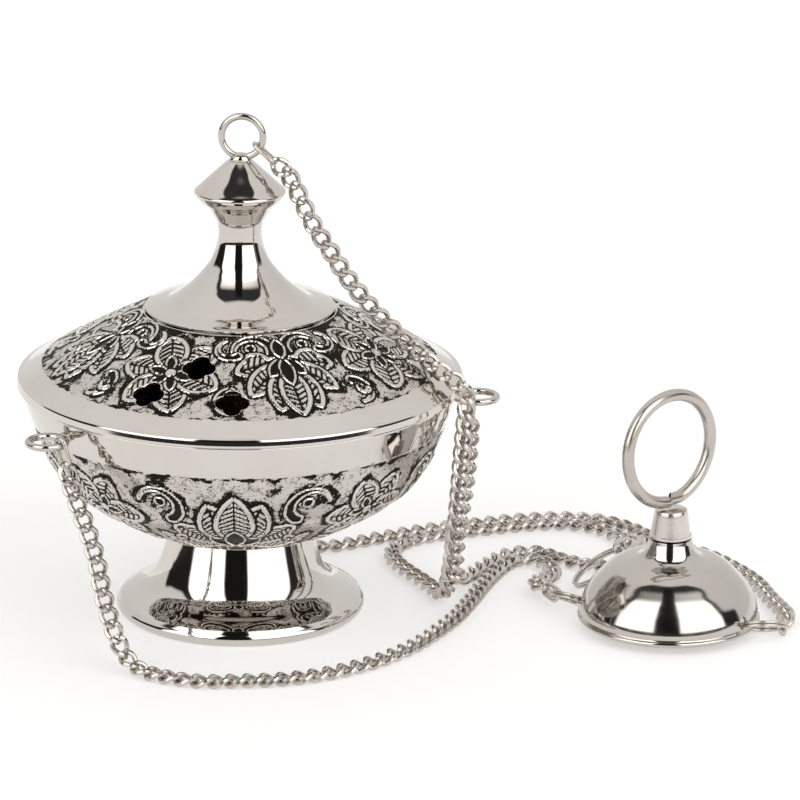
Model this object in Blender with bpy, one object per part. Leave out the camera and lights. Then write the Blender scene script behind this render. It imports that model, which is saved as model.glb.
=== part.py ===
"""Thurible censer: footed bowl, pierced cover with spire, coal cup, four curb chains and a hand cap.

Metres, +Z up. The foot and the chains stand on z = 0. The origin is the middle of the box that
holds the censer and the hand cap. Each sub-part is one object with its own material.
"""
import math

import bmesh
import bpy
from mathutils import Matrix, Vector

MM = 0.001

# ---------------------------------------------------------------- driving dimensions
GAP = 0.3 * MM                    # air between pieces that touch on the real object
SHEET = 1.1 * MM                  # spun sheet of bowl, cover and foot
COVER_R = 60.2 * MM               # outer edge of the cover's bead
FOOT_R = 33.8 * MM
FOOT_TOP_Z = 23.8 * MM
RIM_Z = 64.3 * MM                 # top of the bowl's rim
RIM_R = 58.9 * MM
SPIRE_R = 25.5 * MM               # edge of the spire's skirt
SPIRE_BASE_Z = 85.2 * MM
SPIRE_TOP_Z = 125.4 * MM
BOLT_R = 2.4 * MM
SIDES_LARGE = 32                  # facets round the bowl, cover, foot and hand cap
SIDES_SMALL = 20                  # facets round the cup and the spire

CAP_R = 24.7 * MM                 # lip of the hand cap
CAP_X = 116.4 * MM                # cap axis, measured from the censer's axis
CAP_Y = -12.5 * MM
CAP_Z = 2.2 * MM                  # the cap's lip stands on its three split rings
CAP_TOP = 23.0 * MM               # height of the dome over its lip

CHAIN_D = 4.6 * MM                # overall width of the curb chain
CHAIN_Z = 2.35 * MM               # middle of a chain that lies on the table
LINK_WIRE = 0.6 * MM              # wire radius of the end links

LOOP_RING_R = 5.0 * MM            # middle of the wire of a bowl loop
LOOP_WIRE = 1.0 * MM
LOOP_AT_R = 64.3 * MM
LOOP_Z = 60.0 * MM
LOOP_AZIMUTHS = {"front_left": 220.0, "right": 1.5, "rear": 110.0}

# The censer's axis, so that the box of the solids without the chains is centred on the origin.
REAR_Y = LOOP_AT_R * math.sin(math.radians(LOOP_AZIMUTHS["rear"])) + LOOP_RING_R + LOOP_WIRE
AXIS_X = -(CAP_X + CAP_R - COVER_R) / 2
AXIS_Y = -(REAR_Y - COVER_R) / 2
AXIS = Vector((AXIS_X, AXIS_Y, 0))
CAP_AXIS = AXIS + Vector((CAP_X, CAP_Y, CAP_Z))
UP = Vector((0, 0, 1))


# ---------------------------------------------------------------- helpers
def clear_scene():
    for obj in list(bpy.data.objects):
        bpy.data.objects.remove(obj, do_unlink=True)


def material(name, color, roughness, metallic=1.0):
    mat = bpy.data.materials.new(name)
    mat.use_nodes = True
    shader = mat.node_tree.nodes["Principled BSDF"]
    shader.inputs["Base Color"].default_value = (*color, 1)
    shader.inputs["Roughness"].default_value = roughness
    shader.inputs["Metallic"].default_value = metallic
    return mat


def polished(name):
    return material(name, (0.80, 0.78, 0.76), 0.08)


def satin(name):
    return material(name, (0.66, 0.62, 0.58), 0.32)


def chain_metal(name):
    return material(name, (0.78, 0.75, 0.71), 0.25)


def brass(name):
    return material(name, (0.62, 0.45, 0.22), 0.35)


def finish_object(name, bm, mat, origin, parent=None):
    """Makes an object of a mesh given about its origin, with every face pointing out."""
    bmesh.ops.recalc_face_normals(bm, faces=bm.faces)
    if bm.calc_volume(signed=True) < 0:
        bmesh.ops.reverse_faces(bm, faces=bm.faces)
    mesh = bpy.data.meshes.new(name)
    bm.to_mesh(mesh)
    bm.free()
    mesh.shade_smooth()
    mesh.set_sharp_from_angle(angle=math.radians(35))
    obj = bpy.data.objects.new(name, mesh)
    obj.data.materials.append(mat)
    obj.location = origin
    obj.parent = parent
    bpy.context.scene.collection.objects.link(obj)
    return obj


def joint_empty(name, location):
    """An empty on a joint's axis. The pieces that the joint moves are its children."""
    empty = bpy.data.objects.new(name, None)
    empty.location = location
    bpy.context.scene.collection.objects.link(empty)
    return empty


def smooth(points, steps=4):
    """Points on a Catmull-Rom curve through the given points, which may have any dimension."""
    pts = [Vector(p) for p in points]
    pts = [2 * pts[0] - pts[1]] + pts + [2 * pts[-1] - pts[-2]]
    out = []
    for a, b, c, d in zip(pts, pts[1:], pts[2:], pts[3:]):
        for i in range(steps):
            t = i / steps
            out.append(
                0.5
                * (
                    2 * b
                    + (c - a) * t
                    + (2 * a - 5 * b + 4 * c - d) * t ** 2
                    + (3 * b - a - 3 * c + d) * t ** 3
                )
            )
    out.append(pts[-2])
    return out


def mm_pairs(pairs):
    return [Vector((r * MM, z * MM)) for r, z in pairs]


def inset(profile, thickness):
    """The profile moved by a thickness to the right-hand side of its direction of travel."""
    out = []
    for i, p in enumerate(profile):
        before = profile[max(i - 1, 0)]
        after = profile[min(i + 1, len(profile) - 1)]
        along = (after - before).normalized()
        out.append(p + Vector((along.y, -along.x)) * thickness)
    return out


def polar(radius, azimuth, z=0.0):
    """The point at a radius and an azimuth in degrees."""
    a = math.radians(azimuth)
    return Vector((radius * math.cos(a), radius * math.sin(a), z))


def turned_rings(bm, profile, segments):
    """One ring of vertices for each (radius, height) point."""
    return [[bm.verts.new(polar(r, 360 * i / segments, z)) for i in range(segments)] for r, z in profile]


def bridge(bm, low, high):
    """Faces between two rings of the same count."""
    for i in range(len(low)):
        j = (i + 1) % len(low)
        bm.faces.new((low[i], low[j], high[j], high[i]))


def lathe(loop, segments):
    """Turns a closed loop of (radius, height) points about Z. The loop stays off the axis."""
    bm = bmesh.new()
    rings = turned_rings(bm, loop, segments)
    for low, high in zip(rings, rings[1:] + rings[:1]):
        bridge(bm, low, high)
    return bm


def solid_turning(profile, segments):
    """Turns an open profile about Z and closes it with flat ends at its first and last height."""
    bm = bmesh.new()
    rings = turned_rings(bm, profile, segments)
    for low, high in zip(rings, rings[1:]):
        bridge(bm, low, high)
    bm.faces.new(rings[0])
    bm.faces.new(rings[-1])
    return bm


def swept_wire(points, normal, radius, sides):
    """A closed wire through points of a flat closed curve with the given plane normal."""
    bm = bmesh.new()
    rings = []
    count = len(points)
    for i, p in enumerate(points):
        along = (points[(i + 1) % count] - points[i - 1]).normalized()
        out = along.cross(normal).normalized()
        ring = []
        for k in range(sides):
            a = 2 * math.pi * (k + 0.5) / sides
            ring.append(bm.verts.new(p + out * (radius * math.cos(a)) + normal * (radius * math.sin(a))))
        rings.append(ring)
    for here, there in zip(rings, rings[1:] + rings[:1]):
        bridge(bm, here, there)
    return bm


def plane_axes(normal):
    """Two unit vectors that span the plane, the first one level."""
    across = UP.cross(normal)
    across = Vector((1, 0, 0)) if across.length < 1e-6 else across.normalized()
    return across, normal.cross(across)


def wire_ring(name, center, normal, radius, wire, mat, parent=None, segments=20, sides=6):
    normal = normal.normalized()
    across, over = plane_axes(normal)
    points = []
    for i in range(segments):
        a = 2 * math.pi * i / segments
        points.append(across * (radius * math.cos(a)) + over * (radius * math.sin(a)))
    home = parent.location if parent else Vector((0, 0, 0))
    return finish_object(name, swept_wire(points, normal, wire, sides), mat, center - home, parent)


def oval_link(name, center, along, normal, length, width, wire, mat, parent=None):
    """A link of straight sides and round ends. Length and width are over the wire's outside."""
    along = along.normalized()
    normal = (normal - along * normal.dot(along)).normalized()
    across = normal.cross(along)
    bend = width / 2 - wire
    straight = length / 2 - wire - bend
    points = []
    for end in (1, -1):
        for i in range(5):
            a = math.pi * (i / 4 - 0.5)
            reach = end * (straight + bend * math.cos(a))
            points.append(along * reach + across * (end * bend * math.sin(a)))
    home = parent.location if parent else Vector((0, 0, 0))
    return finish_object(name, swept_wire(points, normal, wire, 6), mat, center - home, parent)


def cut(target, cutter):
    cutter.hide_render = True
    cutter.display_type = "WIRE"
    mod = target.modifiers.new("cut_" + cutter.name, "BOOLEAN")
    mod.operation = "DIFFERENCE"
    mod.solver = "EXACT"
    mod.object = cutter


# ---------------------------------------------------------------- foot and bowl
def make_foot():
    neck = [(19.2, 23.8), (19.7, 20.6), (20.9, 17.0), (22.4, 13.8)]
    flare = mm_pairs(neck + [(24.9, 9.7), (27.3, 8.0), (30.2, 6.5), (33.2, 4.0)])
    hollow = inset(flare, SHEET)
    hollow[0] = Vector((18.5 * MM, FOOT_TOP_Z - SHEET))
    bead = mm_pairs([(33.8, 2.4), (33.6, 1.0), (32.8, 0.0), (31.0, 0.0), (31.0, 2.0)])
    loop = flare + bead + hollow[-2::-1]
    loop += [Vector((BOLT_R + GAP, FOOT_TOP_Z - SHEET)), Vector((BOLT_R + GAP, FOOT_TOP_Z))]
    return finish_object("foot", lathe(loop, SIDES_LARGE), polished("foot"), AXIS)


def make_bowl():
    side = mm_pairs(
        [(28.3, 26.3), (33.6, 28.9), (38.7, 31.9), (45.6, 36.9), (50.8, 43.2), (54.3, 49.6), (56.6, 56.0)]
    )
    outer = mm_pairs([(20.2, 24.1)]) + side + [Vector((RIM_R, RIM_Z))]
    hollow = inset(outer, -SHEET)
    floor_z = FOOT_TOP_Z + GAP
    hollow[0] = Vector((20.0 * MM, floor_z + SHEET))
    hollow[-1] = Vector((RIM_R - 1.3 * MM, RIM_Z))
    loop = [Vector((BOLT_R + GAP, floor_z))] + outer + hollow[::-1]
    loop.append(Vector((BOLT_R + GAP, floor_z + SHEET)))
    return finish_object("bowl", lathe(loop, SIDES_LARGE), polished("bowl"), AXIS)


def hex_nut_loop(top, height):
    """A nut's section for a six-sided turning, whose flats clear the bolt."""
    bore = (BOLT_R + GAP) / math.cos(math.pi / 6)
    return [(bore, top - height), (4.8 * MM, top - height), (4.8 * MM, top), (bore, top)]


def make_foot_fasteners():
    """A round-headed bolt through the bowl's floor, with a washer and a hex nut under the foot."""
    floor_z = FOOT_TOP_Z + GAP + SHEET
    low = 16.2 * MM
    head = [
        (BOLT_R, low),
        (BOLT_R, floor_z + GAP),
        (5.2 * MM, floor_z + GAP),
        (4.6 * MM, floor_z + GAP + 1.3 * MM),
        (2.4 * MM, floor_z + GAP + 2.0 * MM),
    ]
    finish_object("foot_bolt", solid_turning(head, 20), brass("foot_bolt"), AXIS)
    under = FOOT_TOP_Z - SHEET - GAP
    bore = BOLT_R + GAP
    washer = [(bore, under - 1.0 * MM), (6.0 * MM, under - 1.0 * MM), (6.0 * MM, under), (bore, under)]
    finish_object("foot_washer", lathe(washer, 20), brass("foot_washer"), AXIS)
    top = under - 1.0 * MM - GAP
    nut = hex_nut_loop(top, 3.2 * MM)
    finish_object("foot_nut", lathe(nut, 6), brass("foot_nut"), AXIS)


def make_coal_cup(parent):
    """A loose spun cup that holds the charcoal. It stands on the bowl's floor, over the bolt."""
    base = 29.2 * MM
    outer = mm_pairs([(22.0, 29.2), (27.0, 30.6), (31.0, 34.0), (33.6, 39.6), (35.0, 48.0)])
    outer.append(Vector((37.6 * MM, 48.6 * MM)))
    hollow = inset(outer, -0.9 * MM)
    hollow[0] = Vector((22.0 * MM, base + 0.9 * MM))
    loop = [Vector((3.0 * MM, base))] + outer + hollow[::-1] + [Vector((3.0 * MM, base + 0.9 * MM))]
    bm = lathe(loop, SIDES_SMALL)
    return finish_object("coal_cup", bm, brass("coal_cup"), AXIS - parent.location, parent)


def make_bowl_loops():
    loops = {}
    for side, azimuth in LOOP_AZIMUTHS.items():
        center = AXIS + polar(LOOP_AT_R, azimuth, LOOP_Z)
        name = "bowl_loop_" + side
        loops[side] = center
        wire_ring(name, center, UP, LOOP_RING_R, LOOP_WIRE, polished(name), segments=16)
    return loops


# ---------------------------------------------------------------- cover
COVER_SLOPE = 0.546
CONE_TIP_Z = 99.2 * MM            # where the cover's cone would meet the axis


def cover_z(r):
    """Height of the cover's outer face, a slightly bulged cone, at a radius."""
    bulge = 0.45 * MM * math.sin(math.pi * min(max((r - 26 * MM) / (33 * MM), 0), 1))
    return CONE_TIP_Z - COVER_SLOPE * r + bulge


def quatrefoil_cutter(name, azimuth, radius, size, parent):
    """A four-lobed punch that stands square to the cover's slope."""
    lobe = size * 0.27
    out = size / 2 - lobe
    reach = math.pi / 4 + math.asin(out / (lobe * math.sqrt(2)))
    bm = bmesh.new()
    outline = []
    for k in range(4):
        middle = math.pi / 2 * k
        for i in range(5):
            a = middle + reach * (i / 5 * 2 - 1)
            x = out * math.cos(middle) + lobe * math.cos(a)
            y = out * math.sin(middle) + lobe * math.sin(a)
            outline.append((x, y))
    low = [bm.verts.new((x, y, -4 * MM)) for x, y in outline]
    high = [bm.verts.new((x, y, 4 * MM)) for x, y in outline]
    bm.faces.new(low)
    bm.faces.new(high)
    bridge(bm, low, high)
    place = AXIS - parent.location + polar(radius, azimuth, cover_z(radius))
    cutter = finish_object(name, bm, brass(name), place, parent)
    cutter.rotation_euler = (0, math.atan(COVER_SLOPE), math.radians(azimuth))
    return cutter


VENT_SIZE = 9.6 * MM
VENTS = ((-90.6, 48.0), (-104.9, 37.4), (-118.5, 47.5))  # azimuth and radius in mm of one group of three


def make_cover(parent):
    top_z = SPIRE_BASE_Z - GAP
    edge = SPIRE_R + 0.5 * MM
    radii = [edge + (58.6 * MM - edge) * i / 5 for i in range(6)]
    outer = [Vector((r, cover_z(r))) for r in radii]
    hollow = inset(outer, SHEET)
    hollow = [p for p in hollow if p.x < 56.2 * MM]
    bead_low = RIM_Z + 0.45 * MM
    bead = [
        Vector((59.6 * MM, bead_low + 2.2 * MM)),
        Vector((COVER_R, bead_low + 1.5 * MM)),
        Vector((COVER_R, bead_low + 0.6 * MM)),
        Vector((59.6 * MM, bead_low)),
        Vector((57.0 * MM, bead_low)),
        Vector((56.8 * MM, bead_low + 2.0 * MM)),
    ]
    seat = [
        Vector((24.6 * MM, top_z - SHEET)),
        Vector((BOLT_R + GAP, top_z - SHEET)),
        Vector((BOLT_R + GAP, top_z)),
        Vector((edge - 0.3 * MM, top_z)),
    ]
    loop = outer + bead + hollow[::-1] + seat
    bm = lathe(loop, SIDES_LARGE)
    cover = finish_object("cover", bm, polished("cover"), AXIS - parent.location, parent)
    for group in (0, 180):
        for i, (azimuth, radius) in enumerate(VENTS):
            name = "vent_cutter_%d_%d" % (group, i)
            cut(cover, quatrefoil_cutter(name, azimuth + group, radius * MM, VENT_SIZE, parent))
    return cover


def make_cover_spigot(parent):
    """The ring under the cover that keeps it centred in the bowl's rim."""
    loop = mm_pairs([(54.7, 60.2), (55.7, 59.6), (56.0, 60.2), (56.0, 66.6), (54.7, 66.6)])
    bm = lathe(loop, SIDES_LARGE)
    finish_object("cover_spigot", bm, brass("cover_spigot"), AXIS - parent.location, parent)


def make_spire(parent):
    """One spun piece: skirt, waist and knob. It is hollow below the waist and open underneath."""
    skirt = mm_pairs([(25.5, 85.2), (25.5, 85.8)])
    flare = mm_pairs([(22.0, 86.4), (17.5, 88.8), (12.6, 92.8), (9.2, 96.7), (7.2, 100.2), (6.0, 103.6)])
    waist = mm_pairs([(5.75, 106.6), (6.5, 109.9), (8.4, 112.9), (10.9, 115.2)])
    knob = mm_pairs([(12.2, 116.7), (12.2, 118.0), (10.6, 119.4), (8.4, 121.0), (6.0, 123.2), (4.5, 125.1)])
    top = [Vector((3.4 * MM, SPIRE_TOP_Z))]
    hollow = mm_pairs([(2.7, 97.5), (4.6, 97.5), (8.0, 96.3), (11.6, 91.9), (18.4, 86.9), (23.0, 85.2)])
    bm = solid_turning(hollow + skirt + flare + waist + knob + top, SIDES_SMALL)
    finish_object("spire", bm, polished("spire"), AXIS - parent.location, parent)


def make_spire_fasteners(parent):
    """A stud in the spire's waist, with a washer and a hex nut under the cover."""
    home = AXIS - parent.location
    stud = [(BOLT_R - 0.3 * MM, 77.5 * MM), (BOLT_R, 78.0 * MM), (BOLT_R, 97.1 * MM)]  # from its point up
    finish_object("spire_stud", solid_turning(stud, 16), brass("spire_stud"), home, parent)
    bore = BOLT_R + GAP
    under = SPIRE_BASE_Z - GAP - SHEET - GAP
    washer = [(bore, under - 1.0 * MM), (7.0 * MM, under - 1.0 * MM), (7.0 * MM, under), (bore, under)]
    finish_object("spire_washer", lathe(washer, 20), brass("spire_washer"), home, parent)
    top = under - 1.0 * MM - GAP
    nut = hex_nut_loop(top, 3.0 * MM)
    finish_object("spire_nut", lathe(nut, 6), brass("spire_nut"), home, parent)


FINIAL_RING_R = 5.7 * MM
FINIAL_WIRE = 1.0 * MM
FINIAL_CENTER = AXIS + Vector((0.6 * MM, 0, SPIRE_TOP_Z + GAP + FINIAL_RING_R + FINIAL_WIRE))
FINIAL_TURN = 0.12                # sideways part of the ring's normal, which is nearly along Y
END_LINK_LENGTH = 8.8 * MM
END_LINK_WIDTH = 4.4 * MM


def end_link(name, wire_point, wire_tangent, direction, ring_wire, parent=None):
    """A long link hooked on a wire. Returns the chain's first two points, in line with the link.

    The link's near end just clears the wire that it hangs on.
    """
    direction = direction.normalized()
    center = wire_point + direction * (END_LINK_LENGTH / 2 - 2 * LINK_WIRE - ring_wire - 1.4 * GAP)
    size = (END_LINK_LENGTH, END_LINK_WIDTH, LINK_WIRE)
    oval_link(name, center, direction, wire_tangent, *size, chain_metal(name), parent)
    face = center + direction * (END_LINK_LENGTH / 2 + GAP)
    return [face, face + direction * CHAIN_D]


def make_finial_ring(parent):
    name = "finial_ring"
    normal = Vector((FINIAL_TURN, 1, 0))
    wire_ring(name, FINIAL_CENTER, normal, FINIAL_RING_R, FINIAL_WIRE, polished(name), parent)
    a = math.radians(-33)
    across = Vector((1, -FINIAL_TURN, 0)) * math.cos(a)
    hook = FINIAL_CENTER + (across + UP * math.sin(a)) * FINIAL_RING_R
    tangent = Vector((-math.sin(a), 0, math.cos(a)))
    return end_link("lid_chain_top_link", hook, tangent, Vector((0.72, -0.38, -0.58)), FINIAL_WIRE, parent)


# ---------------------------------------------------------------- hand cap
HOLE_AZIMUTHS = {"left": 172.0, "right": -36.0, "rear": 76.0}
HOLE_Z = 3.7 * MM
HOLE_R = 1.75 * MM
SPLIT_R = 6.5 * MM
SPLIT_WIRE = 0.8 * MM


def make_hand_cap(parent):
    neck = [(5.9, 23.0), (7.6, 21.0), (10.7, 18.1)]
    outer = mm_pairs(neck + [(15.4, 14.9), (18.5, 12.8), (20.8, 10.5), (22.6, 8.3), (24.1, 4.2)])
    hollow = inset(outer, 1.0 * MM)
    hollow[0] = Vector((5.0 * MM, CAP_TOP - 1.1 * MM))
    lip = mm_pairs([(24.0, 2.4), (24.7, 1.9), (24.7, 0.3), (24.4, 0.0), (23.0, 0.0), (23.0, 2.4)])
    bore = 1.5 * MM + GAP
    loop = outer + lip + hollow[::-1]
    loop += [Vector((bore, CAP_TOP - 1.1 * MM)), Vector((bore, CAP_TOP))]
    home = CAP_AXIS - parent.location
    dome = finish_object("hand_cap", lathe(loop, SIDES_LARGE), polished("hand_cap"), home, parent)
    for side, azimuth in HOLE_AZIMUTHS.items():
        cutter_mesh = solid_turning([(HOLE_R, -4 * MM), (HOLE_R, 4 * MM)], 14)
        name = "hole_cutter_" + side
        place = home + polar(24 * MM, azimuth, HOLE_Z)
        cutter = finish_object(name, cutter_mesh, brass(name), place, parent)
        cutter.rotation_euler = (0, math.pi / 2, math.radians(azimuth))
        cut(dome, cutter)


COLLAR_HEIGHT = 7.9 * MM
FINGER_RING_R = 15.0 * MM         # middle of the finger ring's wire
FINGER_WIRE = 1.7 * MM


def make_handle(parent, cap_parent):
    """Collar, finger ring and the rivet that they turn on, with a washer under the dome."""
    home = CAP_AXIS - parent.location
    low = CAP_TOP + GAP
    lip = [(5.3 * MM, low), (5.75 * MM, low + 0.4 * MM), (5.75 * MM, low + 1.0 * MM)]
    collar = lip + [(5.35 * MM, low + 1.3 * MM), (4.5 * MM, low + 7.4 * MM), (4.2 * MM, low + COLLAR_HEIGHT)]
    finish_object("handle_collar", solid_turning(collar, 28), satin("handle_collar"), home, parent)
    name = "handle_ring"
    top = low + COLLAR_HEIGHT + GAP
    center = CAP_AXIS + Vector((-0.9 * MM, 0, top + FINGER_RING_R + FINGER_WIRE))
    size = (FINGER_RING_R, FINGER_WIRE)
    wire_ring(name, center, Vector((-0.645, 0.755, 0)), *size, satin(name), parent, segments=28, sides=8)
    under = CAP_TOP - 1.1 * MM - GAP
    washer_low = under - 0.7 * MM
    washer = [(1.8 * MM, washer_low), (4.2 * MM, washer_low), (4.2 * MM, under), (1.8 * MM, under)]
    name = "rivet_washer"
    finish_object(name, lathe(washer, 16), brass(name), CAP_AXIS - cap_parent.location, cap_parent)
    head = washer_low - GAP
    rivet = [(1.6 * MM, head - 1.5 * MM), (2.8 * MM, head - 0.6 * MM), (3.0 * MM, head)]
    rivet += [(1.5 * MM, head), (1.5 * MM, low - GAP)]
    finish_object("handle_rivet", solid_turning(rivet, 16), brass("handle_rivet"), home, parent)


def split_ring_frame(azimuth, side_sign, rise):
    """Middle and plane normal of a split ring that goes in at a hole and out under the cap's lip."""
    hole = CAP_AXIS + polar(23.6 * MM, azimuth, HOLE_Z - 0.35 * MM)
    under = CAP_AXIS + polar(23.9 * MM, azimuth + side_sign * 23.0, -1.2 * MM)
    chord = under - hole
    out = polar(1, azimuth + side_sign * 11.5, rise)
    out = (out - chord * (out.dot(chord) / chord.length_squared)).normalized()
    center = (hole + under) / 2 + out * math.sqrt(SPLIT_R ** 2 - (chord.length / 2) ** 2)
    return center, chord.cross(out).normalized()


SPLIT_SIDES = {"left": (-1, 0.16), "right": (1, 0.22), "rear": (-1, 0.16)}


def make_split_rings(parent):
    frames = {}
    for side, azimuth in HOLE_AZIMUTHS.items():
        turn, rise = SPLIT_SIDES[side]
        center, normal = split_ring_frame(azimuth, turn, rise)
        name = "split_ring_" + side
        wire_ring(name, center, normal, SPLIT_R, SPLIT_WIRE, chain_metal(name), parent)
        frames[side] = (center, normal)
    return frames


# ---------------------------------------------------------------- chains and what is on them
def evenly_spaced(points, spacing):
    """Points about one spacing apart along a polyline, with both its ends."""
    lengths = [(b - a).length for a, b in zip(points, points[1:])]
    total = sum(lengths)
    count = max(round(total / spacing), 2)
    out = [points[0]]
    walked = 0.0
    for a, b, length in zip(points, points[1:], lengths):
        while len(out) < count and walked + length >= total * len(out) / count:
            out.append(a.lerp(b, (total * len(out) / count - walked) / length))
        walked += length
    return out + [points[-1]]


def chain(name, points, spacing=2.0):
    """A plain round tube of the chain's overall width along a smooth curve through the points.

    It never dips under the table. The spacing of its points is in chain widths.
    """
    route = evenly_spaced(smooth(points, 6), spacing * CHAIN_D)
    for place in route:
        place.z = max(place.z, CHAIN_Z)
    curve = bpy.data.curves.new(name, "CURVE")
    curve.dimensions = "3D"
    curve.bevel_depth = CHAIN_D / 2
    curve.bevel_resolution = 2
    curve.use_fill_caps = True
    spline = curve.splines.new("POLY")
    spline.points.add(len(route) - 1)
    for point, place in zip(spline.points, route):
        point.co = (*place, 1)
    curve.materials.append(chain_metal(name))
    obj = bpy.data.objects.new(name, curve)
    bpy.context.scene.collection.objects.link(obj)
    return obj


def routed(triples):
    """Points in mm from the censer's axis. A pair lies on the table."""
    return [AXIS + Vector((p[0] * MM, p[1] * MM, p[2] * MM if len(p) > 2 else CHAIN_Z)) for p in triples]


FRONT_LEFT_ROUTE = (
    (-36.9, -48.4, 33), (-34.2, -49.8, 20), (-31.6, -51.2, 11), (-28.4, -53.4, 5.2),
    (-23.6, -56.8, 2.7), (-16.4, -60.6), (-8, -63), (2, -62.4), (12, -61), (22, -57.6), (31.5, -51.6),
    (40.5, -43.4), (48.3, -33.2), (54.4, -22), (59.4, -10.6), (63, 1), (66.4, 13), (70.4, 24.6), (75, 33.6),
    (80.4, 36), (84.6, 31.4), (86, 23),
)
RIGHT_ROUTE = (
    (61.3, 0.8, 36), (59.7, 4.6, 23), (58.7, 8.4, 11.5), (59.4, 13.6, 4.4), (62.8, 21.4), (68.2, 31.6),
    (74.2, 40), (81.6, 42), (87.6, 36.6), (93.4, 32.4), (100, 30), (107, 29.6), (113.4, 31.6), (118.6, 34),
)
REAR_ROUTE = (
    (-22, 67.4, 32), (-20.6, 66.6, 16), (-17.4, 65.4, 7), (-11, 62), (-2, 57), (7, 51.4), (15, 46.6),
    (22.6, 44.8), (30.4, 48.4), (40.8, 54.8), (52, 60.6), (63.6, 65), (77.4, 69.8), (90.4, 71.6),
    (101.2, 69.4), (109.6, 62.2), (115.2, 53.6), (122, 46.8), (130, 40), (136.6, 30), (142, 18.6), (145, 6),
)
LID_ROUTE = (
    (19.4, -9.2, 111.4), (24.3, -9.8, 103.8), (29.8, -10, 95.3), (36.3, -10, 87.2), (43, -10.4, 80.6),
    (48.8, -12.4, 75.8), (52.2, -14.6, 73.4), (55.6, -16.8, 71.6), (59.2, -18.4, 69.6), (60.9, -18.7, 66.2),
    (60.7, -18.2, 61), (60.1, -16.8, 52), (59.5, -14.4, 42), (58.9, -11.4, 32), (58.2, -8, 22),
    (57.4, -4.2, 12.6), (56.2, 0.6, 5.4), (54, 7.4), (50.4, 16), (45.6, 25), (42, 34), (41.8, 43), (46, 50),
    (53.4, 55.2), (63.6, 59.4), (77.6, 64.4), (89.8, 66.2), (98.8, 63.4), (104.8, 56.6), (108.2, 48.6, 2.6),
    (109.8, 41.6, 4.6), (109.6, 36.6, 7.6),
)

PULL_RING_R = 8.3 * MM
PULL_RING_WIRE = 0.9 * MM
PULL_RING_CENTER = AXIS + Vector((98.7 * MM, 16.0 * MM, 6.2 * MM))
PULL_RING_NORMAL = Vector((-0.585, 0.0, 0.811))


def make_pull_ring(parent):
    """The finger ring of the cover's chain. It leans beside the hand cap."""
    name = "pull_ring"
    size = (PULL_RING_R, PULL_RING_WIRE)
    wire_ring(name, PULL_RING_CENTER, PULL_RING_NORMAL, *size, chain_metal(name), parent)
    rising = Vector((0.811, 0, 0.585))
    level = Vector((0, 1, 0))
    a = math.radians(40)
    hook = PULL_RING_CENTER + (rising * math.cos(a) + level * math.sin(a)) * PULL_RING_R
    tangent = level * math.cos(a) - rising * math.sin(a)
    away = Vector((0.36, 0.92, -0.14))
    return end_link("lid_chain_pull_link", hook, tangent, away, PULL_RING_WIRE, parent)


def loop_hook(center, azimuth):
    """A point on a bowl loop's wire, and the wire's direction there."""
    return center + polar(LOOP_RING_R, azimuth), polar(1, azimuth + 90)


# For each bowl loop: where the chain hooks on it, the first link's direction and the route, and then
# the split ring that it goes to, where it hooks on that and the last link's direction from it.
HANGS = {
    "front_left": (-40, (0.24, -0.12, -0.96), FRONT_LEFT_ROUTE, "left", 138, (-0.45, 0.88, 0.05)),
    "right": (247, (-0.01, 0.1, -1), RIGHT_ROUTE, "rear", 96, (-0.3, 0.94, -0.18)),
    "rear": (100, (0, 0.06, -1), REAR_ROUTE, "right", 38, (0.2, 0.98, 0.06)),
}


def make_chains(loops, split_rings, lid_start, lid_end, cap_parent):
    for side, (hook_azimuth, down, route, cap_side, ring_azimuth, away) in HANGS.items():
        point, tangent = loop_hook(loops[side], hook_azimuth)
        start = end_link(side + "_chain_bowl_link", point, tangent, Vector(down), LOOP_WIRE)
        center, normal = split_rings[cap_side]
        out = polar(1, ring_azimuth)
        out = (out - normal * out.dot(normal)).normalized()
        hook = center + out * SPLIT_R
        name = side + "_chain_cap_link"
        end = end_link(name, hook, normal.cross(out), Vector(away), SPLIT_WIRE, cap_parent)
        chain(side + "_chain", start + routed(route) + end[::-1])
    chain("lid_chain", lid_start + routed(LID_ROUTE) + lid_end[::-1], 1.3)


def build():
    clear_scene()
    cover_empty = joint_empty("cover_lift_axis", AXIS + UP * RIM_Z)
    cup_empty = joint_empty("coal_cup_lift_axis", AXIS + UP * 29.2 * MM)
    cap_empty = joint_empty("hand_cap_lift_axis", CAP_AXIS)
    handle_empty = joint_empty("handle_swivel_axis", CAP_AXIS + UP * CAP_TOP)
    make_foot()
    make_bowl()
    make_foot_fasteners()
    make_coal_cup(cup_empty)
    loops = make_bowl_loops()
    make_cover(cover_empty)
    make_cover_spigot(cover_empty)
    make_spire(cover_empty)
    make_spire_fasteners(cover_empty)
    lid_start = make_finial_ring(cover_empty)
    make_hand_cap(cap_empty)
    make_handle(handle_empty, cap_empty)
    split_rings = make_split_rings(cap_empty)
    lid_end = make_pull_ring(cap_empty)
    make_chains(loops, split_rings, lid_start, lid_end, cap_empty)


build()
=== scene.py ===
"""Looks of a nickel-plated thurible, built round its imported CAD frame. Metres, +Z up.

Spun, turned and wire pieces are smooth meshes in place of the faceted CAD nodes. The bowl and the
cover carry raised ornament with dark hollows, and the chains are made link by link on their routes.
"""
import math

import bpy
import numpy as np
from mathutils import Matrix, Vector


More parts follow.
